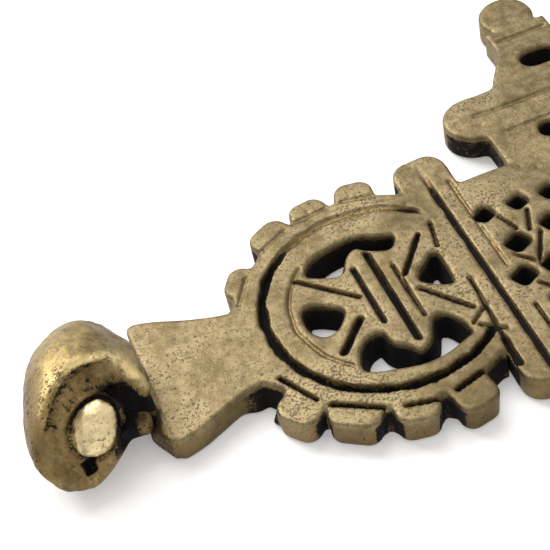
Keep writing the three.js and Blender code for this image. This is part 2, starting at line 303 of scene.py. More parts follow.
# ---------------------------------------------------------------- the cast plate
# medallion openings, in u and w
WINDOWS = [
    [(-5.2, 1.6), (-3.9, 1.2), (-2.5, 0.1), (-2.9, -0.7), (-3.8, -1.6), (-4.8, -1.8), (-5.5, -1.0),
     (-5.7, 0.2)],
    [(4.5, 2.1), (5.1, 1.8), (5.3, 0.8), (5.1, -0.9), (4.8, -1.4), (3.8, -1.0), (2.7, -0.1), (2.8, 0.4),
     (3.4, 1.1), (3.8, 1.4)],
    [(-4.0, 4.3), (-3.3, 5.0), (-2.1, 5.6), (-0.6, 5.8), (0.8, 5.8), (1.8, 5.0), (3.0, 4.7), (2.8, 4.0),
     (2.2, 3.4), (1.5, 3.7), (0.6, 4.2), (0.2, 4.7), (-0.2, 4.7), (-0.9, 4.2), (-1.6, 2.6), (-3.7, 3.6)],
    [(-3.8, -5.4), (-3.0, -5.9), (-0.9, -6.5), (0.4, -6.7), (1.9, -6.5), (3.6, -5.9), (4.1, -5.7),
     (4.0, -4.7), (3.4, -3.6), (2.8, -3.2), (2.2, -3.3), (1.9, -3.8), (1.2, -5.2), (0.3, -5.7),
     (-0.1, -4.8), (-1.1, -4.2), (-1.2, -2.8), (-2.5, -3.0), (-3.3, -3.8)],
]
# teeth: angle in degrees, tip radius, half width
TEETH = [(146, 10.8, 1.4), (118.5, 10.9, 1.6), (98.5, 10.8, 1.4), (78, 11.0, 1.4),
         (-143, 11.7, 1.5), (-123.4, 11.0, 1.75), (-100.4, 10.9, 1.5), (-79.5, 11.6, 1.45)]
# incised lines on the medallion, in u and w: end points, width, depth
LINES = [
    ((-0.8, 3.0), (-0.8, -2.3), 0.36, 0.42), ((0.55, 3.9), (0.6, -4.6), 0.46, 0.6),
    ((1.7, 2.0), (1.75, -3.0), 0.3, 0.35),
    ((-4.8, 3.9), (-1.4, 0.5), 0.34, 0.4), ((-2.1, -1.3), (-4.2, -3.5), 0.55, 0.6),
    ((2.1, 0.9), (4.4, 3.8), 0.4, 0.45), ((2.5, -0.7), (4.9, -3.8), 0.4, 0.4),
    ((-8.7, -3.5), (-7.2, -6.2), 0.34, 0.5), ((-6.5, -7.0), (-3.7, -8.7), 0.4, 0.55),
    ((-2.4, -9.2), (-0.3, -9.7), 0.34, 0.45), ((1.0, -9.5), (3.0, -8.9), 0.42, 0.55),
    ((-8.9, 3.6), (-7.6, 5.6), 0.32, 0.15), ((-6.0, 7.3), (-3.6, 8.6), 0.32, 0.15),
    ((-2.6, 9.0), (-0.2, 9.3), 0.32, 0.15), ((1.0, 9.3), (3.2, 8.8), 0.32, 0.15),
    ((5.8, -1.4), (5.45, -7.2), 0.3, 0.35), ((5.45, -7.1), (5.4, -9.4), 0.5, 0.6),
    ((5.6, 4.5), (5.1, 2.2), 0.32, 0.35), ((5.8, -3.9), (4.3, -5.0), 0.28, 0.3),
    ((4.6, -5.3), (6.0, -6.4), 0.3, 0.3), ((8.5, 7.5), (8.5, -1.5), 0.3, 0.22),
    ((8.5, -5.5), (8.5, -9.5), 0.3, 0.3),
]
# lattice holes beside the collar: u, y, half size
HOLES = [(9.25, 3.5, 0.72), (11.8, 3.5, 0.74), (14.2, 3.35, 0.74), (10.1, 0.1, 0.86), (12.95, 0.75, 0.78),
         (9.1, -2.8, 0.86), (11.3, -2.65, 0.8)]
# rows that continue the lattice: y, first hole's x, half size
LATTICE_ROWS = ((3.5, -3.4, 0.74), (0.5, -4.6, 0.78), (-2.7, -6.5, 0.78), (-5.6, -9.9, 0.72))
LATTICE_PITCH = 2.65
LATTICE_END = 10.2
# short cuts between the holes nearest the collar, in u and w
LATTICE_CUTS = (((12.0, 2.5), (11.3, 0.7)), ((11.9, 0.3), (10.6, -2.1)), ((9.4, -0.9), (10.3, -2.0)),
                ((9.9, 3.0), (10.6, 1.2)), ((9.6, -3.9), (10.9, -5.6)))
# lines across an outer arm: half length, y, width, depth
ARM_LINES = ((7.2, 12.6, 0.4, 0.16), (5.6, 10.2, 0.36, 0.14), (1.9, 19.4, 0.4, 0.2))
# hinge tongue and the foot beside it, in the loop's frame: side views a, c and a plan a, b
STRAP = [(5.2, -3.6), (5.2, -1.5), (2.8, -1.5), (1.6, -0.9), (0.4, -1.4), (0.7, -1.9), (2.2, -3.6)]
FOOT_SIDE = [(6.0, -3.6), (3.1, -3.6), (3.1, -2.9), (3.55, -2.2), (4.1, -1.5), (6.0, -1.5)]
FOOT_PLAN = [(4.95, -2.9), (4.75, -3.1), (3.1, -1.1), (3.1, -0.3), (6.0, -0.3), (6.0, -2.0)]


def outer_arm(x, y):
    """One outer arm pointing along +y from the cross centre: outline, relief, cut lines, openings."""
    d = rbox(x, y, 0, 9.0, 7.3, 2.4, 0.8)
    t = np.clip((y - 14.2) / 5.0, 0, 1)
    half = ARM_WIDE + (ARM_NARROW - ARM_WIDE) * (t * t * (3 - 2 * t)) ** 0.8
    taper = np.maximum(np.abs(x) - half, np.maximum(14.0 - y, y - 20.6)) * 0.9
    d = smin(d, taper, 0.7)
    lobe = seg(x, y, (-LOBE_HALF, LOBE_Y), (LOBE_HALF, LOBE_Y)) - LOBE_R
    d = smin(d, lobe, 0.5)
    knob = np.hypot(x, y - KNOB_Y) - KNOB_R
    d = smin(d, knob, 0.4)
    slot = seg(x, y, (-ARM_SLOT_HALF, ARM_SLOT_Y), (ARM_SLOT_HALF, ARM_SLOT_Y)) - ARM_SLOT_R
    pair = [np.hypot(x - side * ARM_HOLE_X, y - ARM_HOLE_Y) - ARM_HOLE_R for side in (1, -1)]
    openings = np.full(x.shape, FAR_AWAY)
    for opening in (slot, *pair):
        d = smax(d, -opening, 0.2)
        openings = np.minimum(openings, opening)
    relief = np.clip(-lobe / 1.2, 0, 1) * 0.28 + np.clip(-knob / 1.3, 0, 1) * 0.33
    cut = np.zeros(x.shape)
    for reach, line_y, width, depth in ARM_LINES:
        cut = np.maximum(cut, groove(seg(x, y, (-reach, line_y), (reach, line_y)), width, depth))
    return d, relief, cut, openings


def finial(u, w):
    """Fishtail outline: broad at the loop's end, waisted, then flaring into the medallion."""
    t = np.clip((u - FINIAL_END) / 6.9, 0, 1)
    half = FINIAL_HALF - 0.35 * t - FINIAL_WAIST * t * t * (3 - 2 * t)
    half = half + FINIAL_FLARE * np.clip((u + 9.8) / 2.6, 0, 1)
    d = np.maximum((np.abs(w) - half) * 0.94, np.maximum(FINIAL_END - u, u + 7.0))
    return smax(d, rbox(u, w, -11.6, 0, 5.0, 5.55, 0.9), 0.3)


def lattice():
    """All lattice holes in x, y and half size, and the places of the ones that continue the pattern."""
    jitter = np.random.default_rng(5)
    holes = [(MED_X + u, y, half) for u, y, half in HOLES]
    continued = []
    for row_y, start, half in LATTICE_ROWS:
        hx = start
        while hx < LATTICE_END:
            holes.append((hx, row_y + jitter.uniform(-0.15, 0.15), half))
            continued.append((hx, row_y))
            hx += LATTICE_PITCH
    return holes, continued


def outline(x, y, holes):
    """Plan of the casting: outline, distance to the nearest opening, relief and cut lines of the arms."""
    u, w = x - MED_X, y
    d = np.hypot(u, w) - DISC_R
    for deg, tip, half in TEETH:
        a = math.radians(deg)
        mid = (tip + TOOTH_ROOT) / 2
        tooth = rbox(u, w, mid * math.cos(a), mid * math.sin(a), (tip - TOOTH_ROOT) / 2, half, 1.0, a)
        d = smin(d, tooth, 0.35)
    d = smin(d, finial(u, w), 0.9)
    pierced = np.full(x.shape, FAR_AWAY)
    for pts in WINDOWS:
        opening = poly(u, w, rounded(pts))
        pierced = np.minimum(pierced, opening)
        d = smax(d, -opening, 0.15)
    # collar, lattice panel, then the two bars of the second collar
    d = smin(d, rbox(u, w, COLLAR_X, -0.35, 1.98, COLLAR_HALF, 1.5), 0.5)
    d = smin(d, rbox(x, y, 0, 0, *PANEL_HALF, 0.5), 0.5)
    bars = [seg(x, y, (bar_x, -FAR_BAR_HALF), (bar_x, FAR_BAR_HALF)) for bar_x in FAR_BARS_X]
    d = smin(d, smin(*bars, 0.5) - FAR_BAR_R, 0.5)
    relief = np.zeros(x.shape)
    cut = np.zeros(x.shape)
    for deg, shift in ((0, 0.0), (180, 0.0), (-90, LOWER_ARM_SHIFT)):
        c, s = math.cos(math.radians(-deg)), math.sin(math.radians(-deg))
        arm, arm_relief, arm_cut, arm_openings = outer_arm((x - shift) * c - y * s, (x - shift) * s + y * c)
        d = smin(d, arm, 0.4)
        relief = np.maximum(relief, arm_relief)
        cut = np.maximum(cut, arm_cut)
        pierced = np.minimum(pierced, arm_openings)
    for n, (hx, hy, half) in enumerate(holes):
        opening = rbox(x, y, hx, hy, half, half * 0.92, 0.42, 0.45 + 0.2 * math.sin(3.1 * n))
        pierced = np.minimum(pierced, opening)
        d = smax(d, -opening, 0.12)
    return d, pierced, relief, cut


def dark_walls(x, y, pierced):
    """Walls that lean under, and all walls that are painted dark: painted shade, partly patina, in the
    openings, between the teeth, at the finial's waist and in the crooks of the outer arms.
    """
    u, w = x - MED_X, y
    r = np.hypot(u, w)
    valley = step(r, 10.3, 9.5) * step(r, 8.4, 8.9) * (u < 5.0)
    waist = step(u, -11.8, -10.2) * (u < -7.6) * (w < 0) * step(np.abs(w), 5.8, 5.0)
    leaning = np.maximum(np.maximum(step(pierced, 0.6, 0.25), valley), waist)
    crook = step(np.abs(y), 7.4, 7.9) * step(np.abs(y), 13.0, 12.0) * step(np.abs(x), 6.0, 6.8)
    return leaning, np.maximum(leaning, 0.75 * crook * (np.abs(x) < 10.5))


def add_pits(x, y, cut):
    """Small casting pits, added to the depth map cut in place."""
    for _ in range(PITS):
        px, py = RNG.uniform(-37, 30), RNG.uniform(-24, 24)
        radius, depth = RNG.uniform(0.07, 0.2), RNG.uniform(0.02, 0.09)
        i = np.flatnonzero(np.abs(x[:, 0] - px) < 0.5)
        j = np.flatnonzero(np.abs(y[0] - py) < 0.5)
        patch = np.s_[i[0]:i[-1] + 1, j[0]:j[-1] + 1]
        away = np.hypot(x[patch] - px, y[patch] - py)
        cut[patch] += depth * np.exp(-(away / radius) ** 2)


def plate_maps(x, y):
    """Maps of the casting over the plan; skin is the top surface before anything is cut into it."""
    u, w = x - MED_X, y
    r = np.hypot(u, w)
    holes, continued = lattice()
    d, pierced, relief, cut = outline(x, y, holes)
    d = d + 0.35 * (0.10 * waves(x, y, 5.5, 1) + 0.05 * waves(x, y, 1.7, 2))
    leaning, dark = dark_walls(x, y, pierced)
    skin = PLATE_T + 0.06 * waves(x, y, 9.0, 3) + 0.02 * waves(x, y, 2.2, 4) + 0.25 * relief
    wander = 0.06 * waves(x, y, 2.4, 6)
    # the ring groove, shallow on its far side, and a faint one inside it
    ring = groove(np.abs(r - GROOVE_R + wander), 0.62 + 0.14 * waves(x, y, 1.6, 8), 0.8)
    ring = ring * np.clip((5.6 - u) / 0.5, 0, 1) * (1 - 0.72 * step(w, 5.0, 7.2))
    faint = groove(np.abs(r - FAINT_GROOVE_R + wander), 0.3, 0.2) * (u < -4.0)
    cut = np.maximum(np.maximum(cut, ring), faint)
    for start, end, width, depth in LINES:
        cut = np.maximum(cut, groove(seg(u, w, start, end) + 0.4 * wander, width, depth))
    # the lines down the two collars; the first one fades at its far end
    fade = np.clip((9.6 - w) / 3.0, 0.15, 1)
    cut = np.maximum(cut, groove(seg(u, w, (7.1, -11.5), (7.1, 9.6)) + 0.3 * wander, 0.46, 0.45) * fade)
    cut = np.maximum(cut, groove(seg(x, y, (13.1, -11.0), (13.1, 11.0)), 0.5, 0.5))
    for start, end in LATTICE_CUTS:
        cut = np.maximum(cut, groove(seg(u, w, start, end), 0.3, 0.35))
    for hx, hy in continued:
        line = seg(x, y, (hx + 0.55, hy - 0.95), (hx + 1.2, hy - 2.0))
        cut = np.maximum(cut, groove(line, 0.28, 0.3))
    soot_and_shade = step(cut, 0.08, 0.34)
    add_pits(x, y, cut)
    return {"outline": d, "top": skin - cut, "skin": skin, "soot_and_shade": soot_and_shade, "leaning": leaning, "dark": dark}


def loop_frame(x, y, z):
    """Coordinates a, b, c in the loop's frame, with b along the pin."""
    c, s = math.cos(LOOP_YAW), math.sin(LOOP_YAW)
    dx, dy = x - LOOP_POS[0], y - LOOP_POS[1]
    return c * dx + s * dy, -s * dx + c * dy, z - LOOP_POS[2]


def hinge_tongue(a, b, c):
    """Strap and knuckle that the loop turns on, with the sloped foot beside them."""
    hinge = smin(poly(a, c, STRAP), np.hypot(a, c) - KNUCKLE_R, 0.2)
    hinge = round_max(hinge, np.abs(b - KNUCKLE_MID) - KNUCKLE_HALF, 0.15)
    foot = smax(poly(a, c, FOOT_SIDE), poly(a, b, FOOT_PLAN), 0.2)
    hinge = smin(hinge, foot + 0.05 * waves(a, b, 1.6, 41), 0.3)
    return smax(hinge, -(np.hypot(a, c) - PIN_R - 0.06), 0.05)


def plate_soot_and_shade(v, q, maps, low):
    """Dark patina and painted shade at each vertex: patina in the cuts, painted shade with some patina on
    hidden walls, painted shade between the teeth and round the hinge.
    """
    skin, soot_and_shade, dark = (sample(maps[key], low, PITCH, v[:, 0], v[:, 1]) for key in ("skin", "soot_and_shade", "dark"))
    depth = skin - v[:, 2]
    # patina in the cuts; painted shade, partly patina, on the walls, heaviest where the walls are marked
    # dark
    wall = step(depth, 0.15, 0.6) * (v[:, 2] > 0.05)
    black = np.maximum(soot_and_shade * (depth < 1.2), wall * (0.4 + 0.6 * dark))
    # painted shade on the side faces of the teeth, least on the ones beside the finial
    nrm = normals_of(v, q)
    u, w = v[:, 0] - MED_X, v[:, 1]
    r = np.hypot(u, w)
    sideways = np.abs(nrm[:, 0] * w - nrm[:, 1] * u) / np.maximum(r, 1)
    shaded_flank = step(sideways, 0.35, 0.7) * step(r, 11.5, 10.9) * (r > 8.8) * (u < 5.2)
    shaded_flank = shaded_flank * step(u, -9.9, -9.2) * (np.abs(w) > 4.0) * ((w < 0) | (u > -7.5))
    black = np.maximum(black, wall * shaded_flank)
    # painted shade on the tongue, paler on its near face, and on the finial's end wall above it
    a, b, _ = loop_frame(v[:, 0], v[:, 1], v[:, 2])
    near_face = step(b, KNUCKLE[0] + 0.12, KNUCKLE[0] + 0.02) * step(a, 1.6, 2.8)
    black = np.where(u < FINIAL_END - 0.1, 1.0 - 0.4 * near_face, black)
    shaded_end_wall = step(depth, 0.1, 0.5) * step(u, FINIAL_END + 0.5, FINIAL_END + 0.1)
    return np.maximum(black, 0.95 * shaded_end_wall * step(w, -4.6, -2.4))


def build_plate(material):
    low = np.array([-43.2, -24.9, -0.3])
    xs, ys, zs = grid(low, (30.2, 24.9, 6.2), PITCH)
    maps = plate_maps(*np.meshgrid(xs, ys, indexing="ij"))
    field = np.empty((len(xs), len(ys), len(zs)), np.float32)
    for k, z in enumerate(zs):
        side = maps["outline"] + (0.04 - 0.3 * maps["leaning"]) * (PLATE_T - z)
        body = round_max(side, z - maps["top"], TOP_ROUND)
        field[:, :, k] = round_max(body, np.full(body.shape, -z), BACK_ROUND)
    # the hinge takes up only the end of the grid beside the loop
    stop = int((-34.0 - low[0]) / PITCH)
    left, right = (int((side_y - low[1]) / PITCH) for side_y in (-5.5, 5.5))
    hinge = hinge_tongue(*loop_frame(*np.meshgrid(xs[:stop], ys[left:right], zs, indexing="ij")))
    field[:stop, left:right, :] = smin(field[:stop, left:right, :], hinge, 0.15)
    v, q = surface(field, low, PITCH)
    near, wide = hollowness(v, q, (5, 30))
    fields = {"near": near, "wide": wide, "soot_and_shade": plate_soot_and_shade(v, q, maps, low)}
    return make_object("cross_plate", v, q, fields, material)


# ---------------------------------------------------------------- the loop and its pin
def noise3(a, b, c, size, seed):
    """Smooth unevenness in space between about -1 and 1."""
    r = np.random.default_rng(seed)
    out = 0
    for _ in range(9):
        k = r.normal(size=3)
        k = k / np.linalg.norm(k) * 2 * math.pi / (size * r.uniform(0.6, 1.7))
        out = out + np.sin(k[0] * a + k[1] * b + k[2] * c + r.uniform(0, 6.28))
    return out / 4.5


def seat_frame(b, c):
    """Height v up the dished face and distance w out of it."""
    bs = b - SEAT_Y
    return (bs * math.cos(SEAT_TILT) + c * math.sin(SEAT_TILT),
            -bs * math.sin(SEAT_TILT) + c * math.cos(SEAT_TILT))


# upper edge of the dished face and near edge of the lip in a and v, then far outside the body
SEAT_EDGE = [(1.4, 4.72), (0.65, 4.7), (0.0, 4.62), (-0.53, 4.46), (-1.04, 4.04), (-1.43, 3.6),
             (-1.85, 3.04), (-2.37, 1.87), (-2.85, 0.8), (-3.7, 0.0), (-5.5, -0.8), (-5.5, -7.0),
             (7.0, -7.0), (7.0, 0.5), (5.2, 1.6), (4.1, 2.15), (3.3, 2.85), (2.6, 3.6), (2.0, 4.35)]
# mouth of the dark hollow between the face and the lip
HOLLOW = [(1.0, 2.75), (1.5, 3.1), (2.2, 3.05), (2.7, 2.65), (3.15, 2.15), (3.9, 1.5), (5.2, 0.4),
          (4.6, -0.2), (3.0, 0.8), (2.5, 0.6), (2.2, 1.3), (1.75, 2.2)]
# the pin's egg-shaped head
EGG_A, EGG_V = 0.22, 0.6
EGG_LONG, EGG_WIDE = 1.84, 1.4
EGG_TURN = math.radians(26)


def egg_distance(a, v):
    da, dv = a - EGG_A, v - EGG_V
    along = (da * math.sin(EGG_TURN) + dv * math.cos(EGG_TURN)) / EGG_LONG
    across = (da * math.cos(EGG_TURN) - dv * math.sin(EGG_TURN)) / EGG_WIDE
    return (np.hypot(along, across * (1 + 0.1 * along)) - 1) * EGG_WIDE


def loop_shell(a, b, c):
    """Barrel and lip, before anything is cut from them."""
    k = BARREL_POWER
    out = np.hypot((a - BARREL_SHIFT) / BARREL_RX, c / BARREL_RZ)
    g = (out ** k + (np.abs(b + 0.2) / (BARREL_HALF - 0.05)) ** k) ** (1 / k)
    f = (g - 1) * BARREL_RZ * (1 - 0.15 * np.abs(b) / BARREL_HALF)
    lip = np.sqrt((a - LIP_A + 0.14 * b) ** 2 + (b - np.clip(b, -0.05, 3.2)) ** 2 + (c - 0.15) ** 2)
    f = smin(f, lip - LIP_R + 0.08 * np.clip(b, 0, 3), 0.8)
    return f + 0.07 * noise3(a, b, c, 3.2, 21) + 0.025 * noise3(a, b, c, 1.0, 22)


def dished_seat(a, b, c, v):
    """The open face round the pin's head; ring is the distance to the egg, lean its shaded side."""
    floor = 0.05 + 0.15 * np.minimum(a - 0.6, 0) ** 2 + 0.10 * noise3(a, b, c, 1.5, 23)
    floor = floor + 0.05 * noise3(a, b, c, 0.6, 24) - 0.12 * step(v, 1.5, 4.0)
    floor = floor - 0.22 * step(v, -1.6, -3.2)
    ring = egg_distance(a, v)
    lean = 0.5 + 0.5 * np.tanh((0.5 * a + v - 0.6) / 0.9)
    floor = floor - (0.12 + 0.26 * lean) * np.exp(-((ring - 0.05) / 0.2) ** 2)
    pit = rbox(a, v, -0.42, -1.72, 0.42, 0.4, 0.15, 0.3) + 0.14 * noise3(a, b, c, 0.7, 27)
    floor = floor - 0.8 * step(pit, 0.1, -0.2)
    return {"edge": poly(a, v, SEAT_EDGE), "floor": floor, "ring": ring, "lean": lean, "pit": pit}


def loop_openings(a, b, c, v, w):
    """Hollow beside the seat, cord channel, and the room for the knuckle and its tongue."""
    hollow = smax(poly(a, v, HOLLOW) + 0.08 * noise3(a, b, c, 0.9, 25), -w - 2.6, 0.3)
    channel = np.hypot(a - CORD_A, c - CORD_C) - CORD_R + 0.15 * step(b, 1.5, 3.0)
    r = np.hypot(a, c)
    slot = np.abs(b - KNUCKLE_MID) - KNUCKLE_HALF - SIDE_GAP
    drum = smax(r - KNUCKLE_R - SIDE_GAP, slot, 0.05)
    wedge = np.radians(np.abs(np.degrees(np.arctan2(c, a)) - SLOT_MID) - SLOT_SPREAD)
    tongue = smax(wedge * np.maximum(r, 0.5), slot, 0.05)
    return hollow, channel, drum, tongue


def loop_patina_and_painted_light(verts, seat, inside, spur):
    """Patina and painted shade, and wear with a painted highlight, of the loop at each vertex."""
    a, b, c = verts[:, 0], verts[:, 1], verts[:, 2]
    v, w = seat_frame(b, c)
    # painted shade: black inside the hollow, the cord channel and the room for the knuckle and tongue, and
    # dark on the lump towards the finial
    soot_and_shade = step(inside, 0.22, 0.02)
    soot_and_shade = np.where((spur < 0.06) & (b < -0.7), 0.6 + 0.4 * step(a, 3.0, 2.5), soot_and_shade)
    # painted shade on the dished face: in the crevice round the pin's head, darkest on its shaded side, in
    # the pit, in a band under the upper-left edge and next to the openings; over the rest of the face a
    # mottled brown darkening, heavier towards its top
    on_face = step(w - seat["floor"], 0.5, 0.15) * step(seat["edge"], 0.05, -0.1) * step(w, -1.2, -0.4)
    crevice_shade = step(np.abs(seat["ring"] - 0.08), 0.4, 0.08) * (0.62 + 0.33 * seat["lean"])
    shadow_under_edge = np.exp(-(np.maximum(-seat["edge"] - 0.05, 0) / 0.8) ** 2)
    shadow_under_edge = shadow_under_edge * step(v, 0.0, 1.4) * step(a, 2.2, 0.2)
    mottle = 0.3 * noise3(a, b, c, 1.2, 33) + 0.15 * noise3(a, b, c, 0.5, 34)
    for amount in (crevice_shade, step(seat["pit"], 0.2, 0.0), 0.72 * shadow_under_edge, 0.75 * step(inside, 1.0, 0.1),
                   0.24 + 0.15 * step(v, -1.0, 2.5) + mottle):
        soot_and_shade = np.maximum(soot_and_shade, on_face * amount)
    # painted shade: the side away from the finial is darker and browner towards its foot
    soot_and_shade = np.maximum(soot_and_shade, step(a, -2.0, -3.5) * (0.12 + 0.42 * step(v, 5.4, 3.8)))
    # painted highlight, with rubbed wear, along the upper-left rim of the dished face
    rim_highlight = np.exp(-((seat["edge"] - 0.2) / 0.3) ** 2) * step(a, -2.2, -0.6)
    rim_highlight = rim_highlight * step(v, 1.6, 2.6) * step(w, -2.6, -1.8)
    return soot_and_shade, rim_highlight * step(inside, 0.02, 0.1)


def build_loop(material):
    low = np.array([-4.7, -6.9, -4.1])
    a, b, c = np.meshgrid(*grid(low, (4.5, 6.9, 4.1), LOOP_PITCH), indexing="ij")
    r = np.hypot(a, c)
    v, w = seat_frame(b, c)
    seat = dished_seat(a, b, c, v)
    scoop = smax(seat["edge"], seat["floor"] - w, 0.25)
    f = smax(loop_shell(a, b, c), -scoop, 0.75 + 0.25 * step(v, 0.5, -1.5))
    # the lower side towards the finial is dressed off
    f = smax(f, 0.75 * a - 0.66 * v - 2.12, 0.6)
    hollow, channel, drum, tongue = loop_openings(a, b, c, v, w)
    f = smax(f, -hollow, 0.2)
    f = smax(f, -channel, 0.25)
    # the lump that bridges towards the finial
    spur = rbox(a, c, 2.6, -1.35, 1.0, 0.5, 0.35)
    spur = smax(spur, np.abs(b + 1.35) - 0.75, 0.4) + 0.05 * noise3(a, b, c, 0.8, 26)
    f = smin(f, spur, 0.35)
    f = smax(f, -drum, 0.08)
    f = smax(f, -tongue, 0.1)
    # recess for the far head, then the bore
    f = smax(f, -smax(r - FAR_HEAD_R - 0.3, 4.2 - b, 0.1), 0.25)
    f = smax(f, -(r - PIN_R - 0.02), 0.06)
    verts, quads = surface(f.astype(np.float32), low, LOOP_PITCH)
    near, wide = hollowness(verts, quads, (6, 40))
    # values of the fields at the grid point nearest each vertex
    index = np.clip(np.rint((verts - low) / LOOP_PITCH).astype(int), 0, np.array(f.shape) - 1)
    at = (index[:, 0], index[:, 1], index[:, 2])
    inside = np.minimum(np.minimum(hollow, channel), np.minimum(drum, tongue))
    seat_at = {key: values[at] for key, values in seat.items()}
    soot_and_shade, wear_and_highlight = loop_patina_and_painted_light(verts, seat_at, inside[at], spur[at])
    fields = {"near": near, "wide": wide, "soot_and_shade": soot_and_shade, "wear_and_highlight": wear_and_highlight}
    return make_object("loop_barrel", verts, quads, fields, material)


def build_pin(material):
    low = np.array([-2.4, -6.0, -2.4])
    a, b, c = np.meshgrid(*grid(low, (2.6, 5.6, 2.8), LOOP_PITCH), indexing="ij")
    r = np.hypot(a, c)
    v, w = seat_frame(b, c)
    shank = smax(r - PIN_R, np.abs(b - 1.3) - 3.5, 0.2)
    far_head = smax(r - FAR_HEAD_R, np.abs(b - 4.6) - 0.35, 0.3)
    dome = np.sqrt((egg_distance(a, v) / EGG_WIDE + 1) ** 2 + (np.maximum(w, 0) / 0.8) ** 2
                   + (np.minimum(w, 0) / 1.1) ** 2)
    dome = (dome - 1) * 0.9 + 0.04 * noise3(a, b, c, 1.3, 31) + 0.016 * noise3(a, b, c, 0.4, 32)
    f = smin(np.minimum(shank, far_head), dome, 0.1)
    verts, quads = surface(f.astype(np.float32), low, LOOP_PITCH)
    near, wide = hollowness(verts, quads, (5, 25))
    vv, vw = seat_frame(verts[:, 1], verts[:, 2])
    # painted shade: black on the shank below the face of the dish, darker on the lower right of the head
    soot_and_shade = np.maximum(step(vw, 0.12, -0.12), 0.3 * step(verts[:, 0] - 0.5 * vv, 0.4, 1.4))
    return make_object("pin_bright", verts, quads, {"near": near, "wide": wide, "soot_and_shade": soot_and_shade}, material)


# ---------------------------------------------------------------- materials
SPECK = (0.05, 0.04, 0.03)
BLOTCH = (0.06, 0.042, 0.02)
BROWN_DEEP = (0.1, 0.064, 0.024)
BROWN_PALE = (0.27, 0.185, 0.076)
# black of patina and painted shade
SHADE_AND_SOOT_BLACK = (0.006, 0.005, 0.005)


def nodes_for(name):
    """New material with a Principled shader joined to its output."""
    mat = bpy.data.materials.new(name)
    mat.use_nodes = True
    nt = mat.node_tree
    nt.nodes.clear()
    out = nt.nodes.new("ShaderNodeOutputMaterial")
    bsdf = nt.nodes.new("ShaderNodeBsdfPrincipled")
    nt.links.new(bsdf.outputs["BSDF"], out.inputs["Surface"])
    return mat, nt, bsdf


class Graph:
    """Short helpers for one material's node tree."""

    def __init__(self, nt):
        self.nt = nt
        tc = nt.nodes.new("ShaderNodeTexCoord")
        self.obj = tc.outputs["Object"]

    def math(self, op, a, b=0.0, c=None, clamp=False):
        n = self.nt.nodes.new("ShaderNodeMath")
        n.operation = op
        n.use_clamp = clamp
        for k, v in enumerate((a, b, c)):
            if v is None:
                continue
            if isinstance(v, (int, float)):
                n.inputs[k].default_value = v
            else:
                self.nt.links.new(v, n.inputs[k])
        return n.outputs[0]

    def noise(self, scale_mm, detail=4.0, rough=0.55, distortion=0.0, stretch=None):
        n = self.nt.nodes.new("ShaderNodeTexNoise")
        n.inputs["Scale"].default_value = 1000.0 / scale_mm
        n.inputs["Detail"].default_value = detail
        n.inputs["Roughness"].default_value = rough
        n.inputs["Distortion"].default_value = distortion
        self.nt.links.new(self.coords(stretch), n.inputs["Vector"])
        return n.outputs["Fac"]

    def coords(self, stretch=None):
        if stretch is None:
            return self.obj
        m = self.nt.nodes.new("ShaderNodeMapping")
        m.inputs["Scale"].default_value = stretch[0]
        m.inputs["Rotation"].default_value = stretch[1]
        self.nt.links.new(self.obj, m.inputs["Vector"])
        return m.outputs[0]

    def remap(self, v, a, b, lo=0.0, hi=1.0):
        n = self.nt.nodes.new("ShaderNodeMapRange")
        n.interpolation_type = "SMOOTHSTEP"
        self.nt.links.new(v, n.inputs["Value"])
        for key, val in (("From Min", a), ("From Max", b), ("To Min", lo), ("To Max", hi)):
            n.inputs[key].default_value = val
        return n.outputs[0]

    def attr(self, name):
        n = self.nt.nodes.new("ShaderNodeAttribute")
        n.attribute_name = name
        return n.outputs["Fac"]

    def mix(self, fac, a, b):
        n = self.nt.nodes.new("ShaderNodeMix")
        n.data_type = "RGBA"
        self.nt.links.new(fac, n.inputs["Factor"])
        for key, v in ((6, a), (7, b)):
            if isinstance(v, tuple):
                n.inputs[key].default_value = (*v, 1)
            else:
                self.nt.links.new(v, n.inputs[key])
        return n.outputs[2]

    def bump(self, height, distance_mm, strength):
        n = self.nt.nodes.new("ShaderNodeBump")
        n.inputs["Distance"].default_value = distance_mm * MM
        n.inputs["Strength"].default_value = strength
        self.nt.links.new(height, n.inputs["Height"])
        return n.outputs[0]


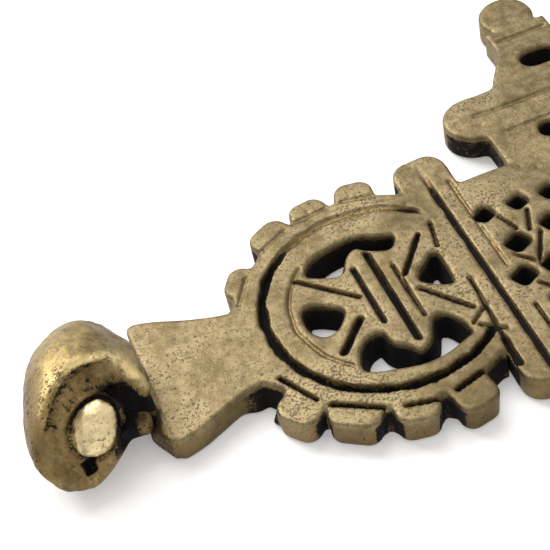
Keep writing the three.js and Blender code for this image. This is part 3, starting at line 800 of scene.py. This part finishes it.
def aged_brass(name, light, mid, dull, rough, near_gain, wide_gain, pits, blotch):
    """Brass with bright rubbed edges, uneven tarnish, specks, and dark patina with painted shade in
    recesses.

    The mesh attributes near and wide say how hollow the surface is, a third where patina and painted shade
    make it dark, a fourth where wear and a painted highlight make it bright.
    """
    mat, nt, bsdf = nodes_for(name)
    bsdf.inputs["Specular IOR Level"].default_value = 0.12
    g = Graph(nt)
    near, wide, soot_and_shade = g.attr("near"), g.attr("wide"), g.attr("soot_and_shade")
    big = g.noise(6.0, 4, 0.6)
    small = g.noise(0.7, 5, 0.65)
    fine = g.noise(0.16, 4, 0.6)
    # recesses: dark patina and painted shade, ragged at its edge
    rec = g.math("ADD", g.math("MULTIPLY", near, near_gain), g.math("MULTIPLY", wide, wide_gain))
    ripple = g.math("SUBTRACT", small, 0.5)
    ragged = g.math("ADD", rec, g.math("MULTIPLY", ripple, 0.45))
    # raised edges: rubbed bright
    edge = g.math("ADD", rec, g.math("MULTIPLY", ripple, 0.5))
    edge = g.remap(edge, -0.25, -1.1, 0.0, 0.85)
    # painted highlight and rubbed wear on the loop's rim, from the mesh attribute
    wear_and_highlight = g.math("MULTIPLY", g.attr("wear_and_highlight"), g.remap(small, 0.3, 0.55))
    edge = g.math("MAXIMUM", edge, wear_and_highlight)
    # patina and painted shade from the mesh attribute: brown where it is thin, black where it is thick
    both = g.math("ADD", g.math("MULTIPLY", small, 0.5), g.math("MULTIPLY", fine, 0.5))
    uneven = g.math("MULTIPLY", g.math("SUBTRACT", both, 0.5), 2.2)
    soot_and_shade_uneven = g.math("ADD", soot_and_shade, g.math("MULTIPLY", uneven, g.remap(soot_and_shade, 0.0, 0.2)))
    dark = g.math("MAXIMUM", g.remap(ragged, 0.3, 0.85), g.remap(soot_and_shade_uneven, 0.45, 0.85))
    brown = g.math("MAXIMUM", g.remap(ragged, 0.0, 0.6), g.remap(soot_and_shade_uneven, 0.05, 0.55))
    # colour, from the bare metal up
    tone = g.math("ADD", g.math("MULTIPLY", big, 0.45), g.math("MULTIPLY", small, 0.33))
    tone = g.remap(g.math("ADD", tone, g.math("MULTIPLY", fine, 0.22)), 0.39, 0.61)
    col = g.mix(tone, dull, mid)
    col = g.mix(edge, col, light)
    speck = g.math("ADD", g.noise(0.22, 3, 0.7), g.math("MULTIPLY", big, 0.55))
    speck = g.remap(speck, 0.88, 0.95, 0.0, pits)
    col = g.mix(speck, col, SPECK)
    patch = g.math("ADD", g.math("MULTIPLY", g.noise(2.2, 5, 0.7, 0.6), 0.7), g.math("MULTIPLY", fine, 0.3))
    col = g.mix(g.remap(patch, 0.5, 0.64, 0.0, blotch), col, BLOTCH)
    col = g.mix(brown, col, g.mix(tone, BROWN_DEEP, BROWN_PALE))
    # black where patina and painted shade are thick
    col = g.mix(dark, col, SHADE_AND_SOOT_BLACK)
    nt.links.new(col, bsdf.inputs["Base Color"])
    metal = g.math("SUBTRACT", 1.0, g.math("MULTIPLY", dark, 0.97), clamp=True)
    nt.links.new(metal, bsdf.inputs["Metallic"])
    r = g.math("ADD", rough, g.math("MULTIPLY", ripple, 0.22))
    r = g.math("SUBTRACT", r, g.math("MULTIPLY", edge, 0.06))
    r = g.math("ADD", r, g.math("MULTIPLY", dark, 0.3), clamp=True)
    nt.links.new(r, bsdf.inputs["Roughness"])
    # fine relief
    scratch = g.noise(0.5, 3, 0.6, 0.3, ((1.0, 9.0, 1.0), (0, 0, 0.5)))
    h = g.math("ADD", g.math("MULTIPLY", fine, 0.5), g.math("MULTIPLY", small, 0.8))
    h = g.math("ADD", h, g.math("MULTIPLY", scratch, 0.25))
    h = g.math("SUBTRACT", h, g.math("MULTIPLY", speck, 0.6))
    nt.links.new(g.bump(h, 0.06, 0.75), bsdf.inputs["Normal"])
    return mat


def stage_material():
    mat, nt, bsdf = nodes_for("stage_white")
    bsdf.inputs["Base Color"].default_value = (0.72, 0.72, 0.72, 1)
    bsdf.inputs["Roughness"].default_value = 0.8
    bsdf.inputs["Emission Color"].default_value = (1, 1, 1, 1)
    bsdf.inputs["Emission Strength"].default_value = 0.22
    return mat


plate_mat = aged_brass("antiqued_brass", light=(0.6, 0.48, 0.27), mid=(0.275, 0.215, 0.118),
                       dull=(0.115, 0.084, 0.04), rough=0.5, near_gain=5.0, wide_gain=0.6,
                       pits=0.7, blotch=0.5)
loop_mat = aged_brass("loop_brass", light=(0.74, 0.58, 0.28), mid=(0.4, 0.3, 0.13),
                      dull=(0.15, 0.106, 0.048), rough=0.47, near_gain=5.0, wide_gain=1.0,
                      pits=0.85, blotch=0.9)
pin_mat = aged_brass("polished_brass", light=(0.95, 0.82, 0.5), mid=(0.88, 0.73, 0.43),
                     dull=(0.6, 0.47, 0.25), rough=0.5, near_gain=7.0, wide_gain=0.8,
                     pits=0.7, blotch=0.55)

plate = build_plate(plate_mat)
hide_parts("cross_casting")
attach(plate, "cross")

placed = Matrix.Translation(Vector(LOOP_POS) * MM) @ Matrix.Rotation(LOOP_YAW, 4, "Z")
for ob, node, slot in ((build_loop(loop_mat), "loop_body", "loop_brass"),
                       (build_pin(pin_mat), "loop_pin", "polished_brass")):
    ob.data.transform(placed)
    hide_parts(node)
    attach(ob, "loop")

# ---------------------------------------------------------------- stage, light, camera
FLOOR_HALF = 1.5                # metres
FLOOR_DROP = 0.00005            # metres below the back face
corners = [(-FLOOR_HALF, -FLOOR_HALF, 0), (FLOOR_HALF, -FLOOR_HALF, 0),
           (FLOOR_HALF, FLOOR_HALF, 0), (-FLOOR_HALF, FLOOR_HALF, 0)]
mesh = bpy.data.meshes.new("stage_floor")
mesh.from_pydata(corners, [], [(0, 1, 2, 3)])
floor = bpy.data.objects.new("stage_floor", mesh)
floor.location.z = -FLOOR_DROP
floor.data.materials.append(stage_material())
bpy.context.scene.collection.objects.link(floor)

world = bpy.data.worlds.new("studio")
bpy.context.scene.world = world
world.use_nodes = True
background = world.node_tree.nodes["Background"]
background.inputs["Color"].default_value = (1.0, 0.99, 0.97, 1)
background.inputs["Strength"].default_value = 0.9


def area_light(name, loc, target, size, power):
    light = bpy.data.lights.new(name, "AREA")
    light.shape = "DISK"
    light.size = size
    light.energy = power
    ob = bpy.data.objects.new(name, light)
    ob.location = loc
    ob.rotation_euler = (Vector(target) - Vector(loc)).to_track_quat("-Z", "Y").to_euler()
    bpy.context.scene.collection.objects.link(ob)


LIT_POINT = (-0.02, 0, 0)       # metres, between the medallion and the cross centre
area_light("soft_top", (-0.05, 0.24, 0.36), LIT_POINT, size=0.34, power=1.3)
area_light("soft_left", (-0.22, 0.28, 0.27), LIT_POINT, size=0.16, power=0.95)

# camera: turn about the vertical, height over the horizon and roll, in radians
AZIMUTH, ELEVATION, ROLL = -0.22964, 0.81595, -0.19289
CAMERA_FROM_MEDALLION = (-22.6448, -67.4368, 79.0248)
SENSOR_MM = 36.0
LENS_MM = 104.72727
back = Vector((math.sin(AZIMUTH) * math.cos(ELEVATION), -math.cos(AZIMUTH) * math.cos(ELEVATION),
               math.sin(ELEVATION)))
level = Vector((math.cos(AZIMUTH), math.sin(AZIMUTH), 0))
rise = back.cross(level)
cam_x = level * math.cos(ROLL) + rise * math.sin(ROLL)
cam_y = -level * math.sin(ROLL) + rise * math.cos(ROLL)
cam = bpy.data.cameras.new("camera")
cam.sensor_width = SENSOR_MM
cam.lens = LENS_MM
cam.clip_start = 0.005
cam_ob = bpy.data.objects.new("camera", cam)
cam_place = Vector(CAMERA_FROM_MEDALLION) + Vector((MED_X, 0, PLATE_T))
cam_turn = Matrix((cam_x, cam_y, back)).transposed().to_4x4()
cam_ob.matrix_world = Matrix.Translation(cam_place * MM) @ cam_turn
bpy.context.scene.collection.objects.link(cam_ob)
bpy.context.scene.camera = cam_ob
bpy.context.scene.view_settings.view_transform = "Standard"
bpy.context.scene.view_settings.exposure = 0.0
